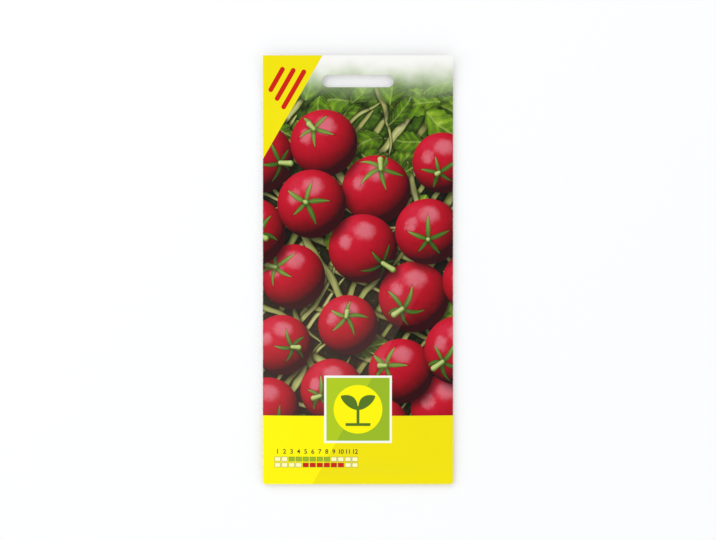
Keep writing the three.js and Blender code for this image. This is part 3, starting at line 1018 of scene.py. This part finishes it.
def slot_cutter(form):
    """A round-ended bar that punches the hang slot."""
    mesh = bmesh.new()
    radius = form.slot_width / 2
    reach = form.slot_length / 2 - radius
    middle = TOP - form.slot_drop
    ring = [(x + reach, y + middle) for x, y in arc(radius, -0.5, SLOT_END_STEPS)]
    ring += [(x - reach, y + middle) for x, y in arc(radius, 0.5, SLOT_END_STEPS)]
    low, high = ([mesh.verts.new((x, y, z)) for x, y in ring] for z in (CUTTER_LOW, CUTTER_HIGH))
    mesh.faces.new(low[::-1])
    mesh.faces.new(high)
    for i in range(len(ring)):
        mesh.faces.new((low[i - 1], low[i], high[i], high[i - 1]))
    for face in mesh.faces:
        face.material_index = RAW
    return mesh


# Pieces

def new_object(name, data):
    """Data as an object of the scene."""
    thing = bpy.data.objects.new(name, data)
    bpy.context.scene.collection.objects.link(thing)
    return thing


def evaluated_mesh(thing):
    """What an object's modifiers, or its letters, make as a mesh."""
    bpy.context.view_layer.update()
    return bpy.data.meshes.new_from_object(thing.evaluated_get(bpy.context.evaluated_depsgraph_get()))


def new_piece(name, mesh, materials):
    """A bmesh as an object; the bmesh is freed."""
    data = bpy.data.meshes.new(name)
    mesh.to_mesh(data)
    mesh.free()
    for material in materials:
        data.materials.append(material)
    return new_object(name, data)


def bake_modifiers(piece):
    """Puts what a piece's modifiers make in place of its mesh, and removes them."""
    data = evaluated_mesh(piece)
    piece.modifiers.clear()
    piece.data = data


def add_paper(piece, thickness, material_offset):
    """Gives a sheet its thickness, half to each side, and other materials to its inside and its cut edges."""
    configure(
        piece.modifiers.new("Paper", "SOLIDIFY"), thickness=thickness, offset=0,
        material_offset=material_offset, material_offset_rim=material_offset,
    )


ENVELOPE_CREASE, SACHET_CREASE = 35, 40


def smooth(piece, angle):
    """Smooth shading, but for edges sharper than an angle in degrees."""
    piece.data.shade_smooth()
    piece.data.set_sharp_from_angle(angle=radians(angle))


def finish_piece(piece, slot, *nodes):
    """Ties a finished piece to the model."""
    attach(piece, "root")
    if nodes:
        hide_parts(*nodes)


class PACKET_OT_envelope(bpy.types.Operator):
    """Fold, fill, glue and punch the printed envelope"""
    bl_idname = "packet.envelope"
    bl_label = "Printed Envelope"

    def execute(self, context):
        form, colors = context.scene.packet_form, context.scene.packet_print
        raw = make_raw_paper_material(colors)
        materials = [make_front_material(colors), make_back_material(colors), raw, raw]
        envelope = Envelope(form)
        mesh, bottom_edge = make_sheet(envelope, run(envelope.low, envelope.high, form.step), form.step)
        add_bottom_flap(mesh, bottom_edge, envelope)
        for vertex in mesh.verts:
            vertex.co.z += envelope.bow(vertex.co.x, vertex.co.y)
        piece = new_piece("printed_envelope", mesh, materials)
        add_paper(piece, form.paper, 2)
        cutter = new_piece("slot_cutter", slot_cutter(form), materials)
        punch = piece.modifiers.new("Slot", "BOOLEAN")
        configure(punch, operation="DIFFERENCE", object=cutter, solver="EXACT")
        bake_modifiers(piece)
        bpy.data.objects.remove(cutter)
        smooth(piece, ENVELOPE_CREASE)
        finish_piece(piece, "printed_paper", "envelope")
        return {"FINISHED"}


INK_HEIGHT = 0.015 * MM
NUMBER_SPACING = 0.88
NUMBER_WEIGHT = 0.035 * MM


class PACKET_OT_numbers(bpy.types.Operator):
    """Print the calendar's month numbers on the front"""
    bl_idname = "packet.numbers"
    bl_label = "Calendar Numbers"

    size: length_prop("Size", "Height of a number", 2.7)

    def execute(self, context):
        form, colors = context.scene.packet_form, context.scene.packet_print
        envelope = Envelope(form)
        proud = form.paper / 2 + INK_HEIGHT
        mesh = bmesh.new()
        for month in range(CALENDAR_MONTHS):
            curve = configure(
                bpy.data.curves.new("number", "FONT"), body=str(month + 1), size=self.size, align_x="CENTER",
                align_y="CENTER", space_character=NUMBER_SPACING, offset=NUMBER_WEIGHT, resolution_u=4,
            )
            text = new_object("number", curve)
            data = evaluated_mesh(text)
            x = (CALENDAR_LEFT + CALENDAR_CELL * (month + 0.5)) * MM
            data.transform(Matrix.Translation((x, (CALENDAR_TOP - CALENDAR_ROW * NUMBERS_DOWN) * MM, 0)))
            mesh.from_mesh(data)
            bpy.data.objects.remove(text)
            bpy.data.curves.remove(curve)
            bpy.data.meshes.remove(data)
        for vertex in mesh.verts:
            x, y = vertex.co.x, vertex.co.y
            vertex.co.z = envelope.levels(y)[2] + envelope.rise(x, y) + envelope.bow(x, y) + proud
        piece = new_piece("calendar_numbers", mesh, [make_ink_material(colors)])
        finish_piece(piece, "printed_paper")
        return {"FINISHED"}


class PACKET_OT_sachet(bpy.types.Operator):
    """Fold, seal and fill the small sachet inside"""
    bl_idname = "packet.sachet"
    bl_label = "Inner Sachet"

    def execute(self, context):
        form = context.scene.packet_contents
        sachet = Sachet(form)
        crimp_step = CRIMP_PITCH / 6
        rows = run(sachet.low, sachet.open_low, crimp_step)
        rows += run(sachet.open_low, sachet.open_high, SACHET_STEPS[0])[1:-1]
        rows += run(sachet.open_high, sachet.high, crimp_step)
        mesh, _ = make_sheet(sachet, rows, SACHET_STEPS[1])
        laminate = make_laminate_material(form)
        piece = new_piece("folded_sachet", mesh, [laminate, laminate])
        add_paper(piece, form.paper, 0)
        bake_modifiers(piece)
        smooth(piece, SACHET_CREASE)
        finish_piece(piece, "sachet_paper", "inner_sachet")
        return {"FINISHED"}


# Seeds to the square metre if nothing held them apart
MOST_SEEDS = 4e5


def make_seed_tree():
    """Seeds scattered over an oval, a set distance apart, each turned, sized and dented in its own way."""
    inputs = dict.fromkeys(("Half Width", "Half Height", "Spacing", "Length"), "Float")
    inputs |= {"Draw": "Int", "Place": "Vector", "Material": "Material"}
    tree, given, give = new_group("Scattered Seeds", inputs, "GeometryNodeTree", "Geometry")
    half_width, half_height, spacing, length, draw, place, material = given

    def node(kind, inputs, **settings):
        return add_node(f"GeometryNode{kind}", inputs, tree=tree, **settings)

    def draws(low, high, seed):
        inputs = {"Min": low, "Max": high, "Seed": seed}
        return add_node("FunctionNodeRandomValue", inputs, tree=tree, data_type="FLOAT_VECTOR")

    oval = node("MeshCircle", {"Vertices": 48, "Radius": 1.0}, fill_type="NGON")
    oval = node("Transform", {"Geometry": oval, "Scale": join(half_width, half_height, 1.0)})
    points = node("DistributePointsOnFaces", {
        "Mesh": oval, "Distance Min": spacing, "Density Max": MOST_SEEDS, "Seed": draw,
    }, distribute_method="POISSON")
    seed = node("MeshUVSphere", {"Segments": 9, "Rings": 6, "Radius": 0.5})
    turn = draws((-0.25, -0.25, 0.0), (0.25, 0.25, 2 * pi), 1)
    size = vector_math("SCALE", draws((0.9, 0.76, 0.6), (1.1, 0.92, 0.68), 2), Scale=length)
    seeds = node("InstanceOnPoints", {"Points": points, "Instance": seed, "Rotation": turn, "Scale": size})
    seeds = node("RealizeInstances", {"Geometry": seeds})
    dents = (grain(node("InputPosition", {}), 700.0, 1.0) - 0.62) * length * 0.28
    push = vector_math("SCALE", node("InputNormal", {}), Scale=dents)
    seeds = node("SetPosition", {"Geometry": seeds, "Offset": push})
    seeds = node("Transform", {"Geometry": seeds, "Translation": place})
    seeds = node("SetShadeSmooth", {"Geometry": seeds})
    give(node("SetMaterial", {"Geometry": seeds, "Material": material}))
    return tree


def set_inputs(modifier, values):
    """Sets a geometry modifier's inputs, found by name, through their sockets' identifiers."""
    for item in modifier.node_group.interface.items_tree:
        if item.item_type == "SOCKET" and item.in_out == "INPUT":
            modifier[item.identifier] = values[item.name]


class PACKET_OT_seeds(bpy.types.Operator):
    """Scatter the seeds in the sachet"""
    bl_idname = "packet.seeds"
    bl_label = "Seeds"

    def execute(self, context):
        form = context.scene.packet_contents
        piece = new_piece("seed_layer", bmesh.new(), [])
        scatter = piece.modifiers.new("Seeds", "NODES")
        scatter.node_group = make_seed_tree()
        middle = (SEEDS_LOW + SEEDS_HIGH) / 2
        inset = form.seed_length * 0.62
        set_inputs(scatter, {
            "Half Width": (SEEDS_HIGH.x - SEEDS_LOW.x) / 2 - inset,
            "Half Height": (SEEDS_HIGH.y - SEEDS_LOW.y) / 2 - inset,
            "Spacing": form.seed_pitch, "Length": form.seed_length, "Draw": form.seed_draw,
            "Place": list(middle), "Material": make_seed_material(form),
        })
        bake_modifiers(piece)
        finish_piece(piece, "seed_coat", "seeds")
        return {"FINISHED"}


class PACKET_OT_stage(bpy.types.Operator):
    """Set the floor, the lights and the camera"""
    bl_idname = "packet.stage"
    bl_label = "Stage"

    def execute(self, context):
        stage = context.scene.packet_stage
        add_floor(stage)
        add_lights(stage)
        add_camera(context.scene, stage)
        return {"FINISHED"}


FLOOR_RADIUS = 3.0
FLOOR_DROP = 0.01 * MM


def add_floor(stage):
    material, shader, position = new_material("Floor")
    darker = tuple(channel * 0.985 for channel in stage.floor)
    set_look(shader, blend(grain(position, 0.01, 2.0) * 0.2, stage.floor, darker), 0.9, 0.1)
    mesh = bmesh.new()
    bmesh.ops.create_circle(
        mesh, cap_ends=True, segments=96, radius=FLOOR_RADIUS, matrix=Matrix.Translation((0, 0, -FLOOR_DROP)),
    )
    floor = new_piece("floor", mesh, [material])


# Each light: direction round the packet and height in degrees, and power in watts
LIGHTS = [("key", 112, 34, 8.5), ("left", 186, 27, 5.5), ("low", 271, 27, 4.5), ("right", 354, 27, 4.5)]
LIGHT_SIZE = 1.4
WORLD_COLOR = (0.98, 0.99, 1.0)
WORLD_STRENGTH = 0.68


def add_lights(stage):
    for name, around, height, power in LIGHTS:
        light = configure(bpy.data.lights.new(name, "AREA"), shape="DISK", size=LIGHT_SIZE, energy=power)
        around, height = radians(around), radians(height)
        direction = Vector((cos(around) * cos(height), sin(around) * cos(height), sin(height)))
        place = stage.light_distance * direction
        turn = place.to_track_quat("Z", "Y").to_euler()
        configure(new_object(name, light), location=place, rotation_euler=turn)
    world = configure(bpy.data.worlds.new("Studio"), use_nodes=True)
    background = world.node_tree.nodes["Background"]
    background.inputs["Color"].default_value = (*WORLD_COLOR, 1)
    background.inputs["Strength"].default_value = WORLD_STRENGTH
    bpy.context.scene.world = world


def add_camera(scene, stage):
    camera = bpy.data.cameras.new("camera")
    configure(camera, lens=stage.lens, sensor_width=stage.sensor, sensor_fit="HORIZONTAL")
    distance = PHOTO_WIDTH_PX * PIXEL * stage.lens / stage.sensor
    scene.camera = configure(new_object("camera", camera), location=(0, 0, distance + PIXEL_PLANE))
    scene.view_settings.view_transform = "Standard"


class PACKET_PT_panel(bpy.types.Panel):
    """The packet's pieces and settings"""
    bl_idname = "PACKET_PT_panel"
    bl_label = "Seed Packet"
    bl_space_type = "VIEW_3D"
    bl_region_type = "UI"
    bl_category = "Seed Packet"

    def draw(self, context):
        for group in SETTINGS:
            settings = getattr(context.scene, group)
            for name in settings.bl_rna.properties.keys():
                if name not in ("rna_type", "name"):
                    self.layout.prop(settings, name)
        for operator in OPERATORS:
            self.layout.operator(operator.bl_idname)


SETTINGS = {
    "packet_form": PacketForm,
    "packet_print": PrintColors,
    "packet_contents": ContentsForm,
    "packet_stage": StageForm,
}
OPERATORS = (PACKET_OT_stage, PACKET_OT_envelope, PACKET_OT_numbers, PACKET_OT_sachet, PACKET_OT_seeds)
CLASSES = (*SETTINGS.values(), *OPERATORS, PACKET_PT_panel)


def register():
    for kind in CLASSES:
        bpy.utils.register_class(kind)
    for name, group in SETTINGS.items():
        setattr(bpy.types.Scene, name, PointerProperty(type=group))


def unregister():
    for name in SETTINGS:
        delattr(bpy.types.Scene, name)
    for kind in reversed(CLASSES):
        bpy.utils.unregister_class(kind)


def main():
    register()
    bpy.ops.packet.stage()
    bpy.ops.packet.envelope()
    bpy.ops.packet.numbers()
    bpy.ops.packet.sachet()
    bpy.ops.packet.seeds()


if __name__ == "__main__":
    main()
